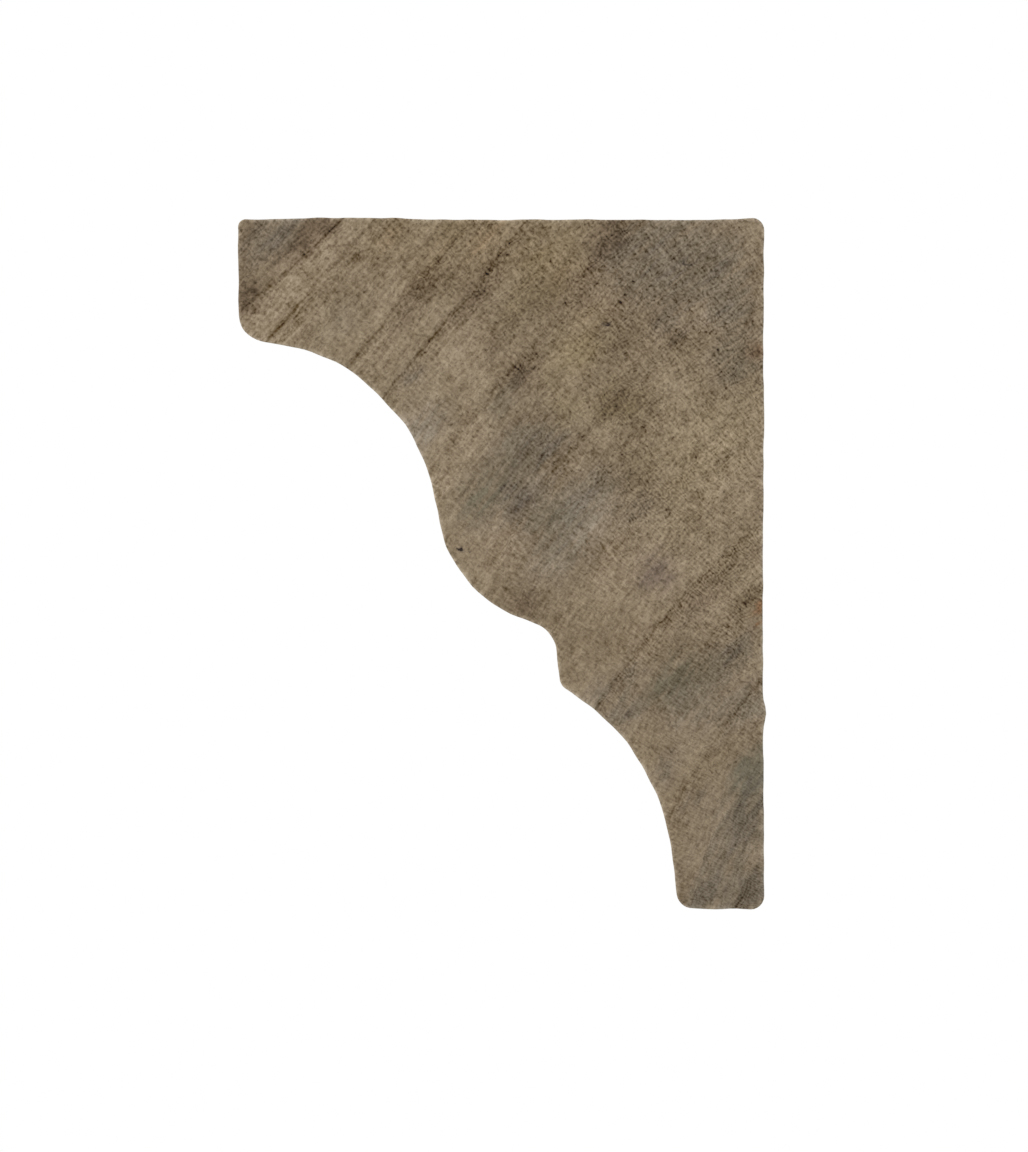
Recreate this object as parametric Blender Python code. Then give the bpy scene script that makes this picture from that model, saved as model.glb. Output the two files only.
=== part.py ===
"""A stick of solid wood crown moulding, cut square at both ends.

The section is set out from the wall outwards, as it is for the cutters that run it: from the foot, up the
moulded face, to the nosing under the ceiling. Straight runs and arcs follow on from each other, and each
member keeps a size of its own, so the height and the projection of the moulding are the sums of its members.

The wall face lies in the plane x = 0, and the room is on the side of -X. The stick runs along Y. The origin
is the middle of the wall face.
"""
import math

import bpy
from mathutils import Vector

MM = 0.001

# How much of the moulding there is, from one sawn end to the other.
LENGTH = 1000.0 * MM

# Headings are in degrees in the plane of the section: 0 is to the wall, 90 is up and 180 is to the room.
# Each one is the way the face runs at the upper end of its member.

# The foot: the thin lower edge, whose front leans in a little.
FOOT_THICKNESS = 9.6 * MM
FOOT_RISE = 4.6 * MM
FOOT_HEADING = 93.6

# The lower cove, hollow, from the foot up to the fillet.
LOWER_COVE_RADIUS = 24.9 * MM
LOWER_COVE_HEADING = 148.8

# The fillet, a narrow flat band that stands nearly upright, and its worn lower edge.
FILLET_ARRIS_RADIUS = 1.5 * MM
FILLET_HEIGHT = 3.4 * MM
FILLET_HEADING = 96.2

# The quirk, the small round groove above the fillet, and the short flat that leads out of it.
QUIRK_RADIUS = 3.25 * MM
QUIRK_FLAT = 1.6 * MM
QUIRK_HEADING = 160.8

# The ovolo, the round member in the middle of the face.
OVOLO_RADIUS = 14.2 * MM
OVOLO_HEADING = 97.7

# The upper cove: two hollow stretches, and between them a flat that meets the lower one at a slight corner.
COVE_LOWER_RADIUS = 25.7 * MM
COVE_LOWER_HEADING = 121.6
COVE_FLAT = 4.5 * MM
COVE_FLAT_HEADING = 133.0
COVE_UPPER_RADIUS = 17.1 * MM
COVE_UPPER_HEADING = 169.9

# The nosing: its soffit, its round lower edge and its upright front.
SOFFIT_WIDTH = 3.15 * MM
NOSE_RADIUS = 3.45 * MM
NOSE_HEIGHT = 10.2 * MM
NOSE_HEADING = 90.0

# The eased edges: the foot's two, the one between the wall and ceiling faces, and the nosing's upper one.
FOOT_FRONT_EASE = 1.6 * MM
FOOT_BACK_EASE = 1.4 * MM
BACK_EASE = 1.2 * MM
NOSE_TOP_EASE = 0.9 * MM

# The most that a facet of an arc may lie off its true curve.
FACET_SAG = 0.0015 * MM


def steps_along(radius, turn):
    """Even steps along an arc, as shares of it, close enough together to keep within FACET_SAG."""
    widest = 2.0 * math.acos(1.0 - FACET_SAG / radius)
    facets = max(1, math.ceil(abs(turn) / widest))
    return [step / facets for step in range(1, facets + 1)]


def right_of(heading):
    """The unit vector that points to the right of a heading in radians."""
    return Vector((math.sin(heading), -math.cos(heading)))


class Scribe:
    """A point that walks up the moulded face, keeping its heading and every point that it has passed."""

    def __init__(self, start, heading):
        self.points = [start]
        self.heading = math.radians(heading)

    def run(self, distance):
        """Walk straight on."""
        ahead = Vector((math.cos(self.heading), math.sin(self.heading)))
        self.points.append(self.points[-1] + distance * ahead)

    def arc(self, radius, heading):
        """Turn to a heading on an arc: to the left where the heading grows, else to the right."""
        turn = math.radians(heading) - self.heading
        side = math.copysign(radius, turn)
        centre = self.points[-1] - side * right_of(self.heading)
        for step in steps_along(radius, turn):
            self.points.append(centre + side * right_of(self.heading + step * turn))
        self.heading += turn

    def bend(self, heading):
        """Turn on the spot, which leaves a corner."""
        self.heading = math.radians(heading)


def moulded_face():
    """The face from the foot's front corner to the nosing's upper corner, both still sharp."""
    scribe = Scribe(Vector((-FOOT_THICKNESS, 0.0)), FOOT_HEADING)
    scribe.run(FOOT_RISE)
    scribe.arc(LOWER_COVE_RADIUS, LOWER_COVE_HEADING)
    scribe.arc(FILLET_ARRIS_RADIUS, FILLET_HEADING)
    scribe.run(FILLET_HEIGHT)
    scribe.arc(QUIRK_RADIUS, QUIRK_HEADING)
    scribe.run(QUIRK_FLAT)
    scribe.arc(OVOLO_RADIUS, OVOLO_HEADING)
    scribe.arc(COVE_LOWER_RADIUS, COVE_LOWER_HEADING)
    scribe.bend(COVE_FLAT_HEADING)
    scribe.run(COVE_FLAT)
    scribe.arc(COVE_UPPER_RADIUS, COVE_UPPER_HEADING)
    scribe.run(SOFFIT_WIDTH)
    scribe.arc(NOSE_RADIUS, NOSE_HEADING)
    scribe.run(NOSE_HEIGHT)
    return scribe.points


def eased_edge(before, corner, after, radius):
    """The arc that rounds off a corner between two straight sides, from the one side to the other."""
    back = (before - corner).normalized()
    onward = (after - corner).normalized()
    half = 0.5 * back.angle(onward)
    centre = corner + (back + onward).normalized() * (radius / math.sin(half))
    first = (corner + back * (radius / math.tan(half)) - centre).normalized()
    last = (corner + onward * (radius / math.tan(half)) - centre).normalized()
    steps = [0.0] + steps_along(radius, first.angle(last))
    return [centre + radius * first.slerp(last, step) for step in steps]


def section():
    """The closed outline: up the moulded face, back along the ceiling face and down the wall face."""
    face = moulded_face()
    foot_back = Vector((0.0, 0.0))
    top_back = Vector((0.0, face[-1].y))
    outline = (
        eased_edge(foot_back, face[0], face[1], FOOT_FRONT_EASE)
        + face[1:-1]
        + eased_edge(face[-2], face[-1], top_back, NOSE_TOP_EASE)
        + eased_edge(face[-1], top_back, foot_back, BACK_EASE)
        + eased_edge(top_back, foot_back, face[0], FOOT_BACK_EASE)
    )
    middle = 0.5 * top_back
    return [point - middle for point in outline]


def raw_wood():
    """Bare sawn and planed wood, grey brown, without any shine."""
    material = bpy.data.materials.new("raw_wood")
    material.use_nodes = True
    shader = material.node_tree.nodes["Principled BSDF"]
    shader.inputs["Base Color"].default_value = (0.235, 0.175, 0.120, 1.0)
    shader.inputs["Roughness"].default_value = 0.85
    shader.inputs["Metallic"].default_value = 0.0
    return material


def stick(name, outline, length, material):
    """A filled outline, extruded to both sides of the section's plane and turned to run along Y."""
    curve = bpy.data.curves.new(name, "CURVE")
    curve.dimensions = "2D"
    curve.fill_mode = "BOTH"
    curve.extrude = 0.5 * length
    spline = curve.splines.new("POLY")
    spline.points.add(len(outline) - 1)
    for point, place in zip(spline.points, outline):
        point.co = (place.x, place.y, 0.0, 1.0)
    spline.use_cyclic_u = True
    curve.materials.append(material)
    piece = bpy.data.objects.new(name, curve)
    piece.rotation_euler = (math.radians(90.0), 0.0, 0.0)
    return piece


for leftover in list(bpy.data.objects):
    bpy.data.objects.remove(leftover, do_unlink=True)

collection = bpy.data.collections.new("crown_moulding")
bpy.context.scene.collection.children.link(collection)
collection.objects.link(stick("crown_moulding", section(), LENGTH, raw_wood()))
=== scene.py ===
import math

import bpy
import numpy as np
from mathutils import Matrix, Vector


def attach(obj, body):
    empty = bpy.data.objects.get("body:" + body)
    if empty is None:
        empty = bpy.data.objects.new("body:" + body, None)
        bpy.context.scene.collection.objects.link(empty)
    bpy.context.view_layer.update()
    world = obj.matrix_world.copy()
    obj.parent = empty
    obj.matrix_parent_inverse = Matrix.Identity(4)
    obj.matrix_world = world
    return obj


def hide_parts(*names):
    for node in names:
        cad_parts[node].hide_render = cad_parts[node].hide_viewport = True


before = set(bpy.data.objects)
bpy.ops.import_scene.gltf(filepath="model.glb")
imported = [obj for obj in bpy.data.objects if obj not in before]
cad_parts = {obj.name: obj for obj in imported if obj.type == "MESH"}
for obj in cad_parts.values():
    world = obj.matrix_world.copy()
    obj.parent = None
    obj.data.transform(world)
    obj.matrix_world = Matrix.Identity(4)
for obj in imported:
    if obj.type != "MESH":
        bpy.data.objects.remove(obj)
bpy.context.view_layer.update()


# The moulding: one stick of solid, unfinished hardwood, run through a moulder and cut square with a saw. Its
# sawn end shows the growth rings of a big log, whose pith lay well below and behind the stick, and its open
# end grain has drawn in grey, brown and olive stains.
MM = 0.001
# sizes are in mm, and headings in degrees: 0 is to the wall, 90 is up and 180 is to the room
STICK_LENGTH = 1000.0
HALF_LENGTH = 0.5 * STICK_LENGTH
FOOT_THICKNESS = 9.6
FOOT_HEADING = 93.6
# each member of the moulded face from the foot up: its length, or its radius and the heading it turns to
FACE_MEMBERS = (
    ("foot front", 4.6, None),
    ("lower cove", 24.9, 148.8),
    ("fillet's lower edge", 1.5, 96.2),
    ("fillet", 3.4, None),
    ("quirk", 3.25, 160.8),
    ("quirk's flat", 1.6, None),
    ("ovolo", 14.2, 97.7),
    ("upper cove, lower stretch", 25.7, 121.6),
    ("upper cove, slight corner", 0.3, 133.0),
    ("upper cove, flat", 4.5, None),
    ("upper cove, upper stretch", 17.1, 169.9),
    ("soffit", 3.15, None),
    ("nosing's lower edge", 3.45, 90.0),
    ("nosing's front", 10.2, None),
)
FOOT_FRONT_EASE = 1.6
FOOT_BACK_EASE = 1.4
BACK_EASE = 1.2
NOSE_TOP_EASE = 0.9
# points stand about the outline's step apart at most, and an arc turns no more than the arc's step in
# degrees between two of them; a point that is added to a straight run keeps a gap to the run's own points
OUTLINE_STEP = 0.75
ARC_STEP = 7.0
POINT_GAP = 0.4 * OUTLINE_STEP
# where the arris of the near end has swelled, torn or worn: place across and up, reach, and height outwards
ARRIS_FLAWS = (
    (0.2, -16.4, 1.3, 0.30),
    (-1.6, 38.3, 1.6, 0.20),
    (-44.5, 38.1, 6.5, 0.13),
    (-15.4, 38.1, 9.0, -0.06),
    (0.0, 1.0, 9.0, -0.07),
    (0.0, 32.0, 3.5, 0.08),
    (0.0, 16.0, 2.6, 0.07),
    (-14.9, -19.8, 1.5, -0.11),
    (-10.6, -29.4, 2.0, 0.09),
    (-9.1, -37.2, 1.6, -0.14),
)
FLAW_REACH_INWARDS = 9.0
# how the saw tore the arris: wave length round the outline, and height
ARRIS_TEARS = ((2.9, 0.020), (4.7, 0.028), (7.9, 0.030))
TEAR_REACH_INWARDS = 1.6
TEAR_DRIFT = 2.4
# slow waves of the run faces along the stick: length over 2 pi, height, and how much they lean; the lean is
# in radians to a mm across and up the section
PLANED_WAVES = ((61.0, 0.030, 1.0), (143.0, 0.045, -2.0))
PLANED_LEAN = (0.11, 0.07)
# the sawn faces stand back a little, to leave room for their ring ridges and the saw's waves
SAW_SET_BACK = 0.06
RIDGE_HEIGHT, RIDGE_RATE, RIDGE_WANDER = 0.035, 1.9, 0.8
SAW_WAVE_HEIGHT, SAW_SCRATCH_HEIGHT = 0.030, 0.020
# the rows of points on each sawn face, and along the stick: their depths near the ends, then even ones
END_ROWS = 46
ARRIS_ROWS = (0.12, 0.4, 0.9, 1.8, 3.5, 6.5, 12.0, 22.0)
FIRST_LONG_ROW = 40.0
LONG_ROW_STEP = 24.0
# the worn rim of each end: its width, the rows of points across it, and the power of the distance from the
# middle with which the sawn relief levels out towards it
RIM_WIDTH = 0.50
RIM_INSETS = (0.34, 0.22, 0.12)
RIM_LEVELLING = 8
# edges between faces that meet at more degrees than this stay sharp
SHARP_ANGLE = 38.0
# the point of the section that sees its whole outline, and where the log's pith lay, both across and up
END_CENTRE = (-7.0, 29.0)
PITH = (80.0, -76.65)


def walk_face(start, heading, members):
    """The moulded face: on a straight run, point = last + length * (cos heading, sin heading); on an arc,
    point = centre + radius * right-hand normal of the heading, with the heading in even steps."""
    rows = [np.array([start])]
    heading = math.radians(heading)
    for _, size, onto in members:
        last = rows[-1][-1]
        if onto is None:
            rows.append(last[None] + size * np.array([[math.cos(heading), math.sin(heading)]]))
            continue
        turn = math.radians(onto) - heading
        side = math.copysign(size, turn)
        fewest = math.ceil(abs(turn) / math.radians(ARC_STEP))
        steps = max(fewest, math.ceil(size * abs(turn) / OUTLINE_STEP))
        angles = heading + turn * np.arange(steps + 1) / steps
        normals = np.stack([np.sin(angles), -np.cos(angles)], axis=1)
        rows.append((last - side * normals[0] + side * normals)[1:])
        heading += turn
    return np.concatenate(rows)


def eased(before, corner, after, radius, steps=6):
    """A rounded corner: centre + radius * unit vector, swept evenly from where it leaves the one side to
    where it meets the other."""
    back = (before - corner) / np.linalg.norm(before - corner)
    onward = (after - corner) / np.linalg.norm(after - corner)
    half = 0.5 * math.acos(float(back @ onward))
    middle = (back + onward) / np.linalg.norm(back + onward)
    centre = corner + middle * radius / math.sin(half)
    first = (corner + back * radius / math.tan(half) - centre) / radius
    last = (corner + onward * radius / math.tan(half) - centre) / radius
    sweep = math.acos(float(first @ last))
    share = np.arange(steps + 1)[:, None] / steps
    spread = (np.sin((1 - share) * sweep) * first + np.sin(share * sweep) * last) / math.sin(sweep)
    return centre + radius * spread


def section_outline():
    """The closed outline in mm, its middle height at zero: the members and the eased corners in turn, with
    points added at even distances where the last ones are far apart."""
    face = walk_face((-FOOT_THICKNESS, 0.0), FOOT_HEADING, FACE_MEMBERS)
    foot_back = np.array([0.0, 0.0])
    top_back = np.array([0.0, face[-1, 1]])
    ring = np.concatenate([
        eased(foot_back, face[0], face[1], FOOT_FRONT_EASE),
        face[1:-1],
        eased(face[-2], face[-1], top_back, NOSE_TOP_EASE),
        eased(face[-1], top_back, foot_back, BACK_EASE),
        eased(top_back, foot_back, face[0], FOOT_BACK_EASE),
    ]) - 0.5 * top_back
    closed = np.concatenate([ring, ring[:1]])
    walked = np.concatenate([[0.0], np.cumsum(np.linalg.norm(np.diff(closed, axis=0), axis=1))])
    even = np.arange(0.0, walked[-1], OUTLINE_STEP)
    clear = np.abs(even[:, None] - walked[None]).min(axis=1) > POINT_GAP
    stops = np.sort(np.concatenate([walked[:-1], even[clear]]))
    return np.stack([np.interp(stops, walked, closed[:, axis]) for axis in (0, 1)], axis=1)


def outward(outline):
    """Unit normals: the chord between each point's neighbours, turned a quarter to the left."""
    chord = np.roll(outline, -1, axis=0) - np.roll(outline, 1, axis=0)
    chord /= np.linalg.norm(chord, axis=1, keepdims=True)
    return np.stack([-chord[:, 1], chord[:, 0]], axis=1)


def arris_flaws(outline, depth):
    """Height outwards in mm: bells exp(-(distance / reach)^2), and sine waves of the distance walked round
    the outline whose phase drifts with another sine, each fading as exp(-depth / reach inwards)."""
    total = np.zeros((len(depth), len(outline)))
    for across, up, reach, height in ARRIS_FLAWS:
        away = np.hypot(outline[:, 0] - across, outline[:, 1] - up) / reach
        total += height * np.exp(-away**2)[None] * np.exp(-depth / FLAW_REACH_INWARDS)[:, None]
    steps = np.linalg.norm(outline - np.roll(outline, 1, axis=0), axis=1)
    share = np.cumsum(steps) / steps.sum() * 2.0 * np.pi
    for length, height in ARRIS_TEARS:
        waves = round(steps.sum() / length)
        wave = np.sin(waves * share + TEAR_DRIFT * np.sin(3.0 * share + length))
        total += height * wave[None] * np.exp(-depth / TEAR_REACH_INWARDS)[:, None]
    return total


def planed_swell(outline, along):
    """Slight unevenness of the run faces in mm: height * sin(distance along the stick / length + phase), for
    each slow wave, with a phase that leans with the place in the section."""
    phase = PLANED_LEAN[0] * outline[:, 0] + PLANED_LEAN[1] * outline[:, 1]
    return sum(height * np.sin(along[:, None] / length + lean * phase[None])
               for length, height, lean in PLANED_WAVES)


def sawn_relief(across, up, phase):
    """How far a sawn face lies off its plane, in mm: a sine of the distance from the pith, which wanders a
    little, and two sines of the height for the saw's waves. The phase sets the two ends apart."""
    radius = np.hypot(across - PITH[0], up - PITH[1])
    ridges = RIDGE_HEIGHT * np.sin(radius * RIDGE_RATE + RIDGE_WANDER * np.sin(up / 7.0 + phase))
    waves = SAW_WAVE_HEIGHT * np.sin(up / 3.3 + across / 17.0 + phase)
    scratches = SAW_SCRATCH_HEIGHT * np.sin(up / 1.35 + phase)
    return ridges + (waves + scratches)


def stick_points():
    """Rows of points from the near end's pole out to its arris, along the stick, and in to the far pole: a
    sawn face is centre + share * (outline - centre), and the sides are outline + height * outward normal.
    With the rows come the two poles, and each row's share of the painted pale highlight along the arris: 1
    at the arris, and 0 past the rim."""
    outline = section_outline()
    normals = outward(outline)
    near = np.array(ARRIS_ROWS)
    middle = np.arange(FIRST_LONG_ROW - HALF_LENGTH, HALF_LENGTH - FIRST_LONG_ROW, LONG_ROW_STEP)
    along = np.concatenate([near - HALF_LENGTH, middle, HALF_LENGTH - near[::-1]])
    push = arris_flaws(outline, along + HALF_LENGTH) + planed_swell(outline, along)
    sides = outline[None] + push[..., None] * normals[None]
    depths = np.broadcast_to(along[:, None], push.shape)
    long_rows = np.stack([sides[..., 0], depths, sides[..., 1]], axis=2)
    centre = np.array(END_CENTRE)
    plane = HALF_LENGTH - SAW_SET_BACK
    shares = (np.arange(1, END_ROWS + 1) / END_ROWS)[:, None, None]
    insets = np.array(RIM_INSETS)[:, None, None]
    level = np.concatenate([1.0 - shares[..., 0] ** RIM_LEVELLING, np.zeros((len(RIM_INSETS), 1))])
    ends = []
    poles = []
    for edge, sign in ((sides[0], -1.0), (sides[-1], 1.0)):
        inner = centre + shares * (edge - RIM_WIDTH * normals - centre)
        flat = np.concatenate([inner, edge[None] - insets * normals[None]])
        deep = sign * (plane + level * sawn_relief(flat[..., 0], flat[..., 1], sign))
        ends.append(np.stack([flat[..., 0], deep, flat[..., 1]], axis=2))
        poles.append((centre[0], sign * plane, centre[1]))
    # each row's share of the painted highlight along the arris: 1 at the arris, fading inwards on the end
    # faces and along the sides
    face_highlight = np.concatenate([np.zeros(END_ROWS), 1.0 - np.array(RIM_INSETS) / RIM_WIDTH])
    side_highlight = np.exp(-np.abs(HALF_LENGTH - np.abs(along)) / RIM_WIDTH)
    highlight_share = np.concatenate([face_highlight, side_highlight, face_highlight[::-1]])
    return np.concatenate([ends[0], long_rows, ends[1][::-1]]), np.array(poles), highlight_share


def closed_grid(name, rows, poles):
    """A mesh of quads between neighbouring rows, each row a closed ring, with a fan of triangles at each
    pole."""
    count, around = rows.shape[:2]
    index = np.arange(count * around).reshape(count, around)
    beside = np.roll(index, -1, axis=1)
    quads = np.stack([index[:-1], beside[:-1], beside[1:], index[1:]], axis=2).reshape(-1, 4)
    near, far = count * around, count * around + 1
    fans = np.concatenate([
        np.stack([np.full(around, near), beside[0], index[0]], axis=1),
        np.stack([np.full(around, far), index[-1], beside[-1]], axis=1),
    ])
    mesh = bpy.data.meshes.new(name)
    points = np.concatenate([rows.reshape(-1, 3), poles])
    corners = np.concatenate([quads.ravel(), fans.ravel()])
    sizes = np.concatenate([np.full(len(quads), 4), np.full(len(fans), 3)])
    mesh.vertices.add(len(points))
    mesh.vertices.foreach_set("co", (points * MM).astype(np.float32).ravel())
    mesh.loops.add(len(corners))
    mesh.loops.foreach_set("vertex_index", corners.astype(np.int32))
    mesh.polygons.add(len(sizes))
    mesh.polygons.foreach_set("loop_start", np.concatenate([[0], np.cumsum(sizes)[:-1]]).astype(np.int32))
    mesh.update(calc_edges=True)
    mesh.validate()
    mesh.shade_smooth()
    mesh.set_sharp_from_angle(angle=math.radians(SHARP_ANGLE))
    return mesh


class Wire:
    """A node's output that takes part in sums: each operator adds one Math node to the same material."""

    def __init__(self, tree, socket=None):
        self.tree = tree
        self.socket = socket

    def node(self, kind, settings, inputs, output=0):
        """Any node: its settings are set first, then the values or links of its sockets."""
        made = self.tree.nodes.new(kind)
        for name, value in settings.items():
            if name == "stops":
                ramp = made.color_ramp
                for place, shade in value[1:-1]:
                    ramp.elements.new(place)
                for element, (place, shade) in zip(ramp.elements, value):
                    element.position = place
                    element.color = (shade, shade, shade, 1.0)
            else:
                setattr(made, name, value)
        for key, value in inputs.items():
            if isinstance(value, Wire):
                self.tree.links.new(value.socket, made.inputs[key])
            else:
                made.inputs[key].default_value = value
        return Wire(self.tree, made.outputs[output])

    def math(self, operation, *values):
        """One Math node on numbers and links."""
        return self.node("ShaderNodeMath", {"operation": operation}, dict(enumerate(values)))

    def vector(self, operation, *values, output=0):
        """One Vector Math node on vectors, colours and links."""
        return self.node("ShaderNodeVectorMath", {"operation": operation}, dict(enumerate(values)), output)

    def scale(self, factor):
        """This vector or colour times a number or link."""
        return self.node("ShaderNodeVectorMath", {"operation": "SCALE"}, {0: self, "Scale": factor})

    def blend(self, other, share):
        """This colour, with a share of another one mixed in."""
        return self.node("ShaderNodeMix", {"data_type": "RGBA"}, {"Factor": share, 6: self, 7: other}, 2)

    def __add__(self, other):
        return self.math("ADD", self, other)

    def __radd__(self, other):
        return self.math("ADD", other, self)

    def __sub__(self, other):
        return self.math("SUBTRACT", self, other)

    def __rsub__(self, other):
        return self.math("SUBTRACT", other, self)

    def __mul__(self, other):
        return self.math("MULTIPLY", self, other)

    def __rmul__(self, other):
        return self.math("MULTIPLY", other, self)

    def __truediv__(self, other):
        return self.math("DIVIDE", self, other)

    def __pow__(self, other):
        return self.math("POWER", self, other)

    def __rpow__(self, other):
        return self.math("POWER", other, self)

    def __abs__(self):
        return self.math("ABSOLUTE", self)

    def rise(self, low, high):
        """0 below low, 1 above high, and a smooth step between."""
        return self.node("ShaderNodeMapRange", {"interpolation_type": "SMOOTHSTEP"},
                         {"Value": self, "From Min": low, "From Max": high})


# growth rings from the pith outwards, at the middle of the section: radius in mm, width of the dark late
# wood on its pith side (0 where the whole ring darkens evenly), how dark that is, and how dark the line is
# that closes it
RINGS = (
    (91.6, 2.0, 0.50, 0.40),
    (102.4, 2.0, 0.60, 0.75),
    (109.6, 2.2, 0.40, 0.00),
    (114.9, 2.6, 1.00, 0.20),
    (124.9, 0.0, 0.20, 0.30),
    (134.9, 3.0, 0.30, 0.30),
    (145.8, 2.4, 0.60, 0.45),
    (154.9, 1.8, 0.85, 0.85),
    (160.2, 2.3, 0.60, 0.80),
    (168.7, 0.0, 0.40, 0.90),
    (171.9, 0.0, 0.55, 1.00),
)
RING_START, RING_SPAN = 85.0, 100.0
# the early wood is palest this far outside each dark band, and this pale for a band of darkness 1
EARLY_DISTANCE, EARLY_LIFT = 0.35, 0.32
# thinner lines inside the rings: radius in mm, and how dark each one is
FINE_LINES = (
    (97.0, 0.30), (100.7, 0.35), (127.1, 0.45), (131.7, 0.40), (138.3, 0.35), (141.3, 0.35), (144.2, 0.30),
    (153.4, 0.50), (158.1, 0.45), (158.9, 0.50), (162.6, 0.25), (166.9, 0.35), (169.6, 0.50),
)
# a line lies a little to the pith's side of its radius, and reaches this far to both sides
LINE_OFFSET, LINE_REACH = 0.14, 0.19
RING_MIDDLE_ANGLE = math.radians(40.0)
# where rings lean away from true circles: radius, reach, and how far they go outwards in mm per radian; the
# leans turn about the middle angle, and the bends begin at the bend angle
RING_LEANS = ((174.0, 3.0, -30.0), (114.0, 9.0, -7.0))
RING_BENDS = ((150.0, 12.0, 31.0),)
RING_BEND_ANGLE = math.radians(43.5)
# the radius at which an angle round the pith is turned into mm along the rings
RING_ARC_RADIUS = 135.0
# the crossing pores: spacing of their rows across the rings and of their files along them, and how far both
# wander; and the band of rings with the coarsest ones
PORE_ROW_PITCH, PORE_FILE_PITCH, PORE_WANDER = 0.49, 0.45, 1.8
COARSE_RADIUS, COARSE_REACH = 118.0, 13.0
# the depths under a sawn face between which its look gives way to that of the planed faces
SAWN_DEPTHS = (0.8, 0.4)

# the sawn wood's middle colour, and how far it moves with the tone: dark grain turns browner, and light
# grain greyer
WOOD = (0.228, 0.173, 0.110)
WOOD_TONE = (0.216, 0.181, 0.135)
# the planed faces are paler than the sawn ones, in streaks, with the knives' faint marks across them
PLANED_LIFT, STREAK_LIFT = 1.28, 0.9
KNIFE_PITCH, KNIFE_MARK = 1.7, 0.006
PLANED_ROUGHNESS, SAWN_ROUGHENING = 0.62, 0.22
WOOD_SPECULAR = 0.25
# the painted highlight along the arris, a pale band that stands for the light on its edge: what it
# multiplies the colour by, and how fast it fades inwards
ARRIS_HIGHLIGHT = (1.42, 1.52, 1.68)
ARRIS_HIGHLIGHT_FADING = 1.6
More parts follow.
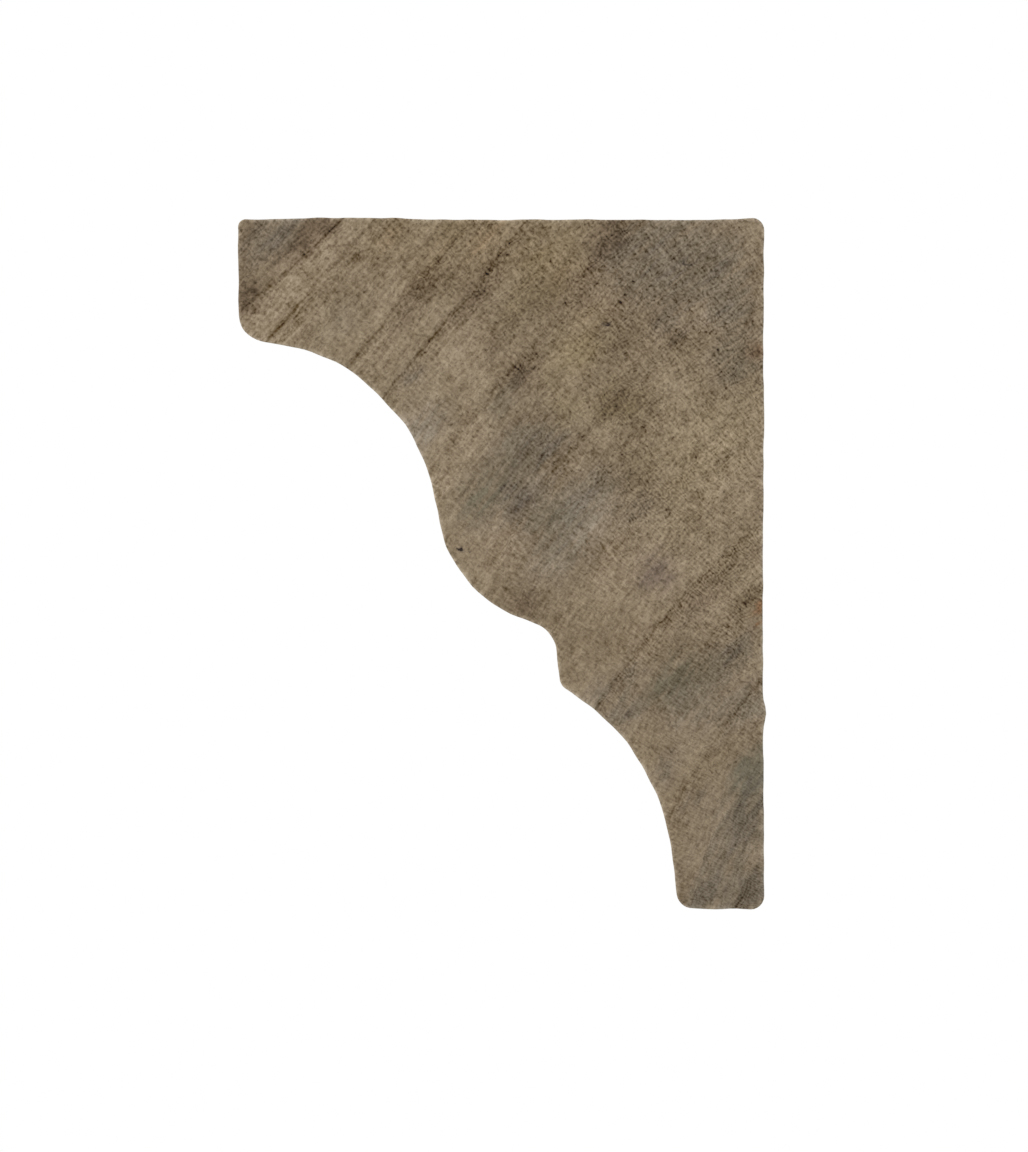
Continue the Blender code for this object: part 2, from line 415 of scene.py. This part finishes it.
# stains in the near end's grain, by tint: what the tint multiplies the wood's colour by, and each stain's
# place across and up in mm, its half length along the rings, its half width across them, and its strength
STAINS = {
    "yellow": ((1.07, 1.07, 0.96), (
        (-21.0, 23.5, 3.6, 2.0, 0.80), (-6.5, 13.0, 8.0, 5.0, 0.25), (-22.0, 16.5, 2.4, 1.6, 0.50),
        (-23.5, 34.0, 4.2, 2.6, 0.60))),
    "tan": ((0.94, 0.87, 0.77), (
        (-31.0, 36.0, 5.0, 3.5, 0.55), (-24.0, 34.0, 4.2, 3.2, 0.15), (-18.6, 27.8, 3.2, 1.8, 0.45),
        (-41.0, 36.5, 3.0, 2.0, 0.60), (-37.5, 33.5, 3.0, 2.0, 0.45), (-22.0, 31.4, 2.4, 1.8, 0.50),
        (-12.0, 26.6, 3.0, 2.0, 0.40), (-13.4, 7.6, 2.8, 1.8, 0.40))),
    "cool": ((0.89, 0.95, 1.06), (
        (-21.0, 4.2, 6.5, 3.4, 0.75), (-38.6, 14.6, 3.0, 2.0, 0.80), (-27.5, 13.0, 4.0, 2.4, 0.45),
        (-8.6, -15.6, 3.0, 2.0, 0.60), (-0.8, -15.8, 2.4, 1.8, 0.50), (-16.2, 34.0, 2.4, 1.8, 0.35))),
    "pale": ((1.23, 1.24, 1.29), (
        (-51.2, 32.1, 5.0, 1.4, 1.40), (-33.0, 24.0, 3.6, 2.8, 0.45), (-46.8, 35.2, 2.6, 1.6, 0.45),
        (-53.4, 27.0, 3.8, 2.4, 1.80), (-36.0, 8.5, 3.0, 1.6, 0.80), (-41.5, 24.5, 3.0, 2.0, 0.30),
        (-38.6, 15.2, 2.8, 1.5, 1.10), (-19.2, 4.2, 3.0, 1.1, 1.05), (-7.3, 27.5, 1.7, 1.3, 0.90),
        (-28.8, 2.4, 2.8, 2.3, 1.25), (-32.5, 14.5, 3.4, 2.4, 0.55), (-41.5, 30.5, 2.6, 2.0, 0.30),
        (-50.3, 33.1, 2.4, 1.5, 1.80), (-44.0, 33.8, 2.4, 1.5, 0.45), (-17.0, 3.0, 2.2, 1.5, 0.60),
        (-30.0, 4.9, 2.0, 0.5, 0.50), (-25.6, 8.6, 2.2, 0.5, 0.60), (-20.8, 5.8, 2.2, 0.5, 0.50),
        (-16.5, 0.0, 4.0, 2.0, 0.60), (-25.3, -1.3, 1.8, 1.2, 0.30), (-14.2, -8.4, 2.6, 1.4, 0.55),
        (-22.0, 11.0, 2.0, 1.2, 0.55), (-19.0, 32.0, 2.4, 1.5, 0.55), (-9.8, -27.0, 2.6, 1.1, 0.45),
        (-16.2, 28.8, 2.2, 1.5, 0.70), (-4.8, 8.0, 3.0, 2.0, 0.40), (-5.0, -31.5, 2.4, 1.5, 0.40),
        (-4.6, 12.0, 4.0, 3.0, 0.30))),
    "slate": ((0.63, 0.66, 0.73), (
        (-54.4, 36.6, 4.0, 2.0, 0.85), (-10.0, 33.0, 8.5, 6.0, 0.42), (-12.4, 34.6, 5.0, 3.0, 0.30),
        (-8.4, 31.4, 2.6, 2.6, 0.20), (-4.6, 33.2, 3.0, 2.6, 0.45), (-3.6, 28.6, 2.6, 2.4, 0.62),
        (-2.6, 22.6, 3.4, 2.6, 0.60), (-25.5, 9.0, 6.0, 5.0, 0.20), (-27.0, 7.0, 2.3, 1.7, 0.62),
        (-24.4, 13.8, 3.0, 2.2, 0.55), (-19.2, 7.6, 2.6, 1.5, 0.50), (-13.6, 6.8, 2.8, 1.8, 0.50),
        (-23.4, 0.0, 2.2, 1.3, 0.25), (-39.0, 20.8, 1.8, 1.2, 0.45), (-3.4, -10.0, 3.2, 1.6, 0.85),
        (-4.0, -15.8, 4.4, 2.4, 0.38), (-15.2, -16.4, 2.8, 1.6, 0.65), (-2.4, -28.0, 6.5, 3.4, 0.38),
        (-1.4, -28.8, 3.4, 2.1, 0.65), (-5.0, -33.5, 3.6, 2.8, 0.35), (-0.8, -35.8, 2.8, 1.6, 1.10),
        (-7.0, -37.0, 2.8, 1.4, 0.90), (-11.0, 26.8, 2.2, 1.4, 0.45), (-14.5, -12.0, 2.2, 1.4, 0.40),
        (-10.6, -22.4, 2.4, 1.4, 0.45), (-7.8, -26.4, 2.2, 1.3, 0.35), (-31.0, 4.6, 1.8, 1.3, 0.25),
        (-3.0, -37.2, 3.0, 1.3, 0.50), (-18.6, -14.6, 2.2, 1.4, 0.50), (-1.4, -23.6, 2.8, 1.6, 0.20),
        (-29.0, 7.3, 2.2, 0.5, 0.50), (-24.0, 12.0, 2.8, 0.5, 0.60))),
    "teal": ((0.63, 0.68, 0.69), (
        (-28.0, 12.0, 2.9, 1.7, 0.28), (-31.4, 7.4, 2.9, 1.9, 0.90), (-23.2, 4.8, 2.6, 2.2, 0.40),
        (-8.6, -12.0, 2.8, 2.2, 0.82), (-11.4, -13.6, 2.4, 1.6, 0.45), (-1.2, -23.2, 3.4, 2.0, 1.05),
        (-36.2, 16.6, 2.2, 1.6, 0.20), (-29.0, 18.0, 2.2, 1.4, 0.50), (-46.8, 26.8, 3.0, 1.6, 0.25))),
    "violet": ((0.68, 0.66, 0.73), (
        (-11.9, -0.8, 2.2, 1.9, 1.15), (-26.8, 19.8, 1.6, 1.2, 0.30), (-8.0, -6.0, 3.0, 2.0, 0.15),
        (-26.3, 6.5, 1.8, 0.5, 0.60))),
    "olive": ((0.60, 0.57, 0.48), (
        (-16.2, 18.4, 2.6, 1.8, 0.95), (-14.0, 17.2, 1.9, 1.5, 0.60), (-15.0, 10.2, 3.2, 1.7, 0.50),
        (-9.6, 9.0, 3.0, 2.0, 0.28), (-9.6, 2.8, 2.6, 1.8, 0.25), (-1.8, -28.8, 3.0, 2.2, 0.30),
        (-9.4, -9.6, 2.6, 1.6, 0.25), (-3.4, -0.6, 2.6, 1.1, 0.25), (-1.2, -3.4, 1.8, 1.0, 0.50),
        (-26.6, 29.0, 4.0, 1.8, 0.60), (-34.4, 30.4, 2.2, 1.1, 0.30), (-35.0, 37.0, 3.0, 1.6, 0.60),
        (-1.6, 19.6, 2.2, 1.6, 0.35), (-2.6, 23.2, 2.4, 2.0, 0.50), (-15.8, 25.2, 2.6, 1.5, 0.40),
        (-13.4, 6.8, 2.4, 1.6, 0.25), (-2.6, -10.4, 2.6, 1.5, 0.35), (-19.4, -5.0, 2.4, 1.6, 0.25),
        (-23.0, 29.8, 2.8, 1.5, 0.55), (-8.0, 24.0, 2.0, 1.4, 0.30), (-18.4, 15.8, 2.4, 1.2, 0.30))),
    "brown": ((0.56, 0.51, 0.47), (
        (-57.6, 29.2, 2.4, 1.6, 1.25), (-50.2, 37.0, 2.8, 1.4, 2.60), (-56.8, 36.8, 2.0, 1.4, 0.50),
        (-17.0, 36.2, 2.5, 2.0, 1.30), (-37.8, 30.5, 2.8, 1.2, 0.20), (-32.1, 29.6, 3.2, 1.2, 0.65),
        (-39.5, 27.4, 2.4, 1.0, 0.35), (-26.6, 21.3, 2.4, 1.5, 0.55), (-29.8, 23.8, 1.2, 1.0, 0.50),
        (-0.5, 11.0, 1.6, 0.9, 0.35), (-0.4, 8.4, 1.6, 0.9, 0.35), (-0.5, 5.6, 1.4, 0.8, 0.25),
        (-0.4, 1.4, 1.4, 0.8, 0.35), (-19.4, 32.4, 3.4, 0.6, 0.40), (-9.6, 25.3, 1.8, 1.2, 0.40),
        (-26.9, -4.6, 2.2, 1.6, 0.85), (-6.4, -3.3, 2.4, 1.3, 0.60), (-19.8, 29.8, 2.6, 1.2, 0.30),
        (-53.8, 33.2, 1.4, 1.2, 0.40))),
    "rust": ((0.92, 0.66, 0.50), (
        (-0.5, -4.6, 0.9, 0.5, 0.90), (-0.4, -6.8, 0.7, 0.4, 0.80), (-0.8, 23.4, 1.2, 0.7, 0.45))),
    "pin specks": ((0.10, 0.08, 0.09), (
        (-32.9, 1.3, 0.30, 0.24, 2.20), (-8.7, 33.2, 0.28, 0.22, 0.90), (-17.6, 26.5, 0.28, 0.20, 0.80))),
}
# the slope of the rings along which the stains lie, and how far they reach into the stick
STAIN_SLOPE = math.radians(48.0)
STAIN_DEPTH = 70.0


def wood():
    """Colour, roughness and bump of the wood, as one solid pattern in the stick's own millimetres."""
    material = bpy.data.materials.new("raw_hardwood")
    material.use_nodes = True
    tree = material.node_tree
    shader = tree.nodes["Principled BSDF"]
    start = Wire(tree)
    stick_place = start.node("ShaderNodeTexCoord", {}, {}, "Object").scale(1.0 / MM)
    split = start.node("ShaderNodeSeparateXYZ", {}, {0: stick_place}).socket.node.outputs
    x, y, z = (Wire(tree, split[axis]) for axis in range(3))

    def noise(first, second, third, detail=2.0, roughness=0.5):
        """Soft noise about zero, one feature to a unit of each coordinate."""
        place = start.node("ShaderNodeCombineXYZ", {}, {0: first, 1: second, 2: third})
        return start.node("ShaderNodeTexNoise", {}, {
            "Vector": place, "Scale": 1.0, "Detail": detail, "Roughness": roughness}) - 0.5

    def spots(size, length, shift=0.0, detail=2.0, roughness=0.5):
        """Noise whose features have a size in the section and a length along the stick; a shift moves it."""
        across = x / size + shift if shift else x / size
        return noise(across, y / length, z / size, detail, roughness)

    warp_x = 2.0 * spots(30.0, 260.0) + 0.35 * spots(2.0, 60.0)
    warp_z = 2.0 * spots(30.0, 260.0, 40.0) + 0.35 * spots(2.0, 60.0, 40.0)
    from_pith_x = PITH[0] - x + warp_x
    from_pith_z = z - PITH[1] + warp_z
    radius = (from_pith_x * from_pith_x + from_pith_z * from_pith_z) ** 0.5
    angle = start.math("ARCTAN2", from_pith_z, from_pith_x)
    along_ring = RING_ARC_RADIUS * angle

    def grain(across, along, length, shift=0.0, detail=2.0):
        """Noise whose features have one size across the rings, one along them, and one along the stick."""
        outwards = radius / across + shift if shift else radius / across
        return noise(outwards, along_ring / along, y / length, detail)

    def bell(value, middle, reach):
        """1 where the value is at the middle, falling off as exp(-(distance / reach)^2)."""
        off = (value - middle) / reach
        return math.exp(-1.0) ** (off * off)

    turned = angle - RING_MIDDLE_ANGLE
    bent = start.math("MAXIMUM", angle - RING_BEND_ANGLE, 0.0)
    straight = radius
    for course, leans in ((turned, RING_LEANS), (bent, RING_BENDS)):
        for middle, reach, drift in leans:
            straight = straight - drift * course * bell(radius, middle, reach)
    tones = [(0.0, 0.5)]
    for ring, width, band, _ in RINGS:
        edge = (ring - RING_START) / RING_SPAN
        if width:
            tones.append((edge - width / RING_SPAN, 0.5))
        tones.append((edge, 0.5 - 0.5 * band))
        tones.append((edge + EARLY_DISTANCE / RING_SPAN, 0.5 + EARLY_LIFT * band))
    ring_tone = start.node("ShaderNodeValToRGB", {"stops": tones + [(1.0, 0.5)]},
                           {0: (straight - RING_START) / RING_SPAN}) - 0.5
    closing_lines = tuple((ring, line) for ring, _, _, line in RINGS if line)
    ring_line = 0.0
    for ring, line in closing_lines + FINE_LINES:
        ring_line = ring_line + line * bell(straight, ring - LINE_OFFSET, LINE_REACH)

    patch = spots(7.0, 120.0, 7.0)
    short_lines = grain(0.40, 1.7, 90.0)
    long_lines = grain(0.55, 16.0, 160.0, 31.0)
    rays = grain(1.15, 0.34, 26.0, detail=1.0)
    grains = spots(0.42, 14.0, roughness=0.7)
    row_place = radius + PORE_WANDER * spots(1.3, 40.0, 5.0)
    file_place = along_ring + PORE_WANDER * noise(x / 1.3, y / 40.0, z / 1.3 + 5.0)
    rows = start.math("SINE", row_place * (2.0 * math.pi / PORE_ROW_PITCH))
    files = start.math("SINE", file_place * (2.0 * math.pi / PORE_FILE_PITCH))
    pores = spots(0.34, 16.0, 9.0, 0.0).rise(0.10, 0.24)
    pits = spots(0.58, 18.0, 17.0, 1.0).rise(0.05, 0.20)
    breaks = grain(1.6, 3.4, 70.0, 13.0, 3.0)
    blotch = spots(4.6, 150.0, detail=3.0, roughness=0.6)
    cloud = spots(11.0, 190.0, 21.0)
    sawn = abs(y).rise(HALF_LENGTH - SAWN_DEPTHS[0], HALF_LENGTH - SAWN_DEPTHS[1])

    # the stains have smeared a little, and have drawn along the rings in streaks
    cosine, sine = math.cos(STAIN_SLOPE), math.sin(STAIN_SLOPE)
    smear_x = x + 3.6 * spots(2.6, 90.0, 3.0, 4.0, 0.65)
    smear_z = z + 3.6 * spots(2.6, 90.0, 63.0, 4.0, 0.65)
    stain_place = start.node("ShaderNodeCombineXYZ", {}, {
        0: cosine * smear_x + sine * smear_z,
        1: cosine * smear_z - sine * smear_x,
        2: (y + HALF_LENGTH) / STAIN_DEPTH})
    drawn = 1.2 + 3.0 * grain(0.90, 7.0, 160.0, 11.0)
    covers = {}
    for stain, (_, places) in STAINS.items():
        cover = 0.0
        for across, up, long, wide, strength in places:
            middle = (cosine * across + sine * up, cosine * up - sine * across)
            away = start.vector("MULTIPLY_ADD", stain_place, (1.0 / long, 1.0 / wide, 1.0),
                                (-middle[0] / long, -middle[1] / wide, 0.0))
            squared = start.vector("DOT_PRODUCT", away, away, output="Value")
            cover = cover + strength * math.exp(-1.0) ** squared
        covers[stain] = start.math("MINIMUM", drawn * cover, 1.0)

    # the fine lines along the rings show most to the left and at the foot, the rays to the right and above;
    # where the wood is stained, the crossing rows of pores have drawn in most of the dirt; one band of rings
    # to the right has the coarsest pores
    rayed = (x + 0.6 * z).rise(-24.0, -6.0)
    busy = (z + 0.5 * x).rise(-32.0, 12.0)
    foot = 1.0 - z.rise(-34.0, -12.0)
    coarse = rayed * bell(radius, COARSE_RADIUS, COARSE_REACH)
    stained_pores = covers["brown"] + covers["olive"] + covers["slate"] + 0.7 * covers["tan"]
    woven = (0.07 - 0.16 * ring_tone + 0.12 * stained_pores + 0.06 * coarse) * (rows + files)
    fine = ((1.00 - 0.30 * rayed + 0.1 * foot + 2.2 * patch) * short_lines
            + (0.85 + 0.10 * rayed - 0.1 * foot - 2.2 * patch) * rays + 1.35 * grains + woven)
    faded = 1.0 + 2.4 * grain(5.0, 7.0, 90.0, 23.0)
    tone = (0.40 * faded * ring_tone - 0.30 * ring_line * (faded + 1.6 * breaks + 3.4 * grains)
            + (0.80 + 0.12 * busy + 0.09 * rayed) * fine + (0.22 - 0.18 * rayed) * long_lines
            + 0.95 * blotch + 0.25 * cloud - 0.16 * coarse * (pits - 0.2)
            - (0.10 + 0.08 * busy + 0.10 * rayed + 0.10 * stained_pores) * pores)
    colour = start.vector("MULTIPLY_ADD", tone * (0.55 + 0.45 * sawn), WOOD_TONE, WOOD)
    for stain, (tint, _) in STAINS.items():
        colour = colour.blend(start.vector("MULTIPLY", colour, tint), covers[stain])
    # the colour turns paler towards the arris by the rim attribute: a painted highlight along the edge
    rim = start.node("ShaderNodeAttribute", {"attribute_name": "rim"}, {}, "Fac")
    painted_arris_highlight = start.math("MINIMUM", rim ** ARRIS_HIGHLIGHT_FADING * (0.9 + 2.0 * blotch), 1.0)
    colour = colour.blend(start.vector("MULTIPLY", colour, ARRIS_HIGHLIGHT), painted_arris_highlight)
    streak = spots(2.2, 210.0, detail=3.0, roughness=0.6)
    lift = PLANED_LIFT + STREAK_LIFT * streak
    colour = colour.scale(lift + (1.0 - lift) * sawn)

    knife = KNIFE_MARK * start.math("SINE", y * (2.0 * math.pi / KNIFE_PITCH)) + 0.05 * spots(0.5, 22.0)
    rough = 0.10 * grains - 0.05 * pores + 0.06 * short_lines + 0.05 * rays + 0.05 * ring_tone
    height = knife + (rough - knife) * sawn
    bump = start.node("ShaderNodeBump", {}, {"Strength": 1.0, "Distance": MM, "Height": height})
    roughness = PLANED_ROUGHNESS + SAWN_ROUGHENING * sawn + 0.3 * grains
    for name, wire in (("Base Color", colour), ("Normal", bump), ("Roughness", roughness)):
        tree.links.new(wire.socket, shader.inputs[name])
    shader.inputs["Specular IOR Level"].default_value = WOOD_SPECULAR
    return material


stick_rows, end_poles, row_highlight = stick_points()
moulding = bpy.data.objects.new("moulding_stick", closed_grid("moulding_stick", stick_rows, end_poles))
# the rim attribute holds each point's share of the painted highlight along the arris
pole_highlight = np.zeros(len(end_poles))
rim_values = np.concatenate([np.repeat(row_highlight, stick_rows.shape[1]), pole_highlight]).astype(np.float32)
moulding.data.attributes.new("rim", "FLOAT", "POINT").data.foreach_set("value", rim_values)
moulding.data.materials.append(wood())
bpy.context.scene.collection.objects.link(moulding)
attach(moulding, "root")
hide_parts("crown_moulding")


# The floor: a pale disc a metre below the stick, which hangs from its wall face. It is out of the camera's
# view, as the stick stands before plain white in the photograph.
FLOOR_DROP = 1.0
FLOOR_RADIUS = 9.0
FLOOR_CORNERS = 96
FLOOR_COLOUR = (0.80, 0.80, 0.79, 1.0)
FLOOR_ROUGHNESS = 0.9
floor_mesh = bpy.data.meshes.new("floor")
turns = np.linspace(0.0, 2.0 * np.pi, FLOOR_CORNERS, endpoint=False)
floor_heights = np.full(FLOOR_CORNERS, -FLOOR_DROP)
floor_rim = np.stack([FLOOR_RADIUS * np.cos(turns), FLOOR_RADIUS * np.sin(turns), floor_heights], axis=1)
floor_mesh.from_pydata(floor_rim.tolist(), [], [list(range(FLOOR_CORNERS))])
floor = bpy.data.objects.new("floor", floor_mesh)
floor_paint = bpy.data.materials.new("floor_paint")
floor_paint.use_nodes = True
floor_shader = floor_paint.node_tree.nodes["Principled BSDF"]
floor_shader.inputs["Base Color"].default_value = FLOOR_COLOUR
floor_shader.inputs["Roughness"].default_value = FLOOR_ROUGHNESS
floor_mesh.materials.append(floor_paint)
bpy.context.scene.collection.objects.link(floor)


# The light: an even white room, and one broad soft lamp to the left, above and a little in front, which
# rakes across the sawn end and models the coves. Its place and size are in metres.
ROOM_COLOUR = (1.0, 1.0, 1.0, 1.0)
ROOM_STRENGTH = 1.0
world = bpy.data.worlds.new("white_room")
world.use_nodes = True
room_light = world.node_tree.nodes["Background"]
room_light.inputs["Color"].default_value = ROOM_COLOUR
room_light.inputs["Strength"].default_value = ROOM_STRENGTH
bpy.context.scene.world = world

LAMP_PLACE = Vector((-1.9, -0.85, 1.2))
LAMP_AIM = Vector((0.0, -0.3, 0.0))
LAMP_POWER = 34.0
LAMP_SIZE = 0.7
lamp_light = bpy.data.lights.new("soft_lamp", "AREA")
lamp_light.energy = LAMP_POWER
lamp_light.size = LAMP_SIZE
lamp = bpy.data.objects.new("soft_lamp", lamp_light)
lamp.location = LAMP_PLACE
lamp.rotation_euler = (LAMP_AIM - LAMP_PLACE).to_track_quat("-Z", "Y").to_euler()
bpy.context.scene.collection.objects.link(lamp)


# The camera: a long lens square on to the sawn end, standing in line with the part of the section that hides
# all the long faces, and turned a little to centre the view.
PIXELS_PER_MM = 9.042
IMAGE_HEIGHT = 1152
FRAME_HEIGHT = IMAGE_HEIGHT / PIXELS_PER_MM * MM
LENS, SENSOR = 400.0, 36.0
CLIP_NEAR, CLIP_FAR = 0.05, 50.0
END_PLANE = -HALF_LENGTH * MM
CAMERA_PLACE = Vector((-6.93 * MM, END_PLANE - FRAME_HEIGHT * LENS / SENSOR, 29.2 * MM))
VIEW_CENTRE = Vector((-27.6 * MM, END_PLANE, -1.31 * MM))
camera_data = bpy.data.cameras.new("camera")
camera_data.lens = LENS
camera_data.sensor_width = SENSOR
camera_data.clip_start = CLIP_NEAR
camera_data.clip_end = CLIP_FAR
camera = bpy.data.objects.new("camera", camera_data)
camera.location = CAMERA_PLACE
camera.rotation_euler = (VIEW_CENTRE - CAMERA_PLACE).to_track_quat("-Z", "Y").to_euler()
bpy.context.scene.collection.objects.link(camera)
bpy.context.scene.camera = camera
bpy.context.scene.view_settings.view_transform = "Standard"
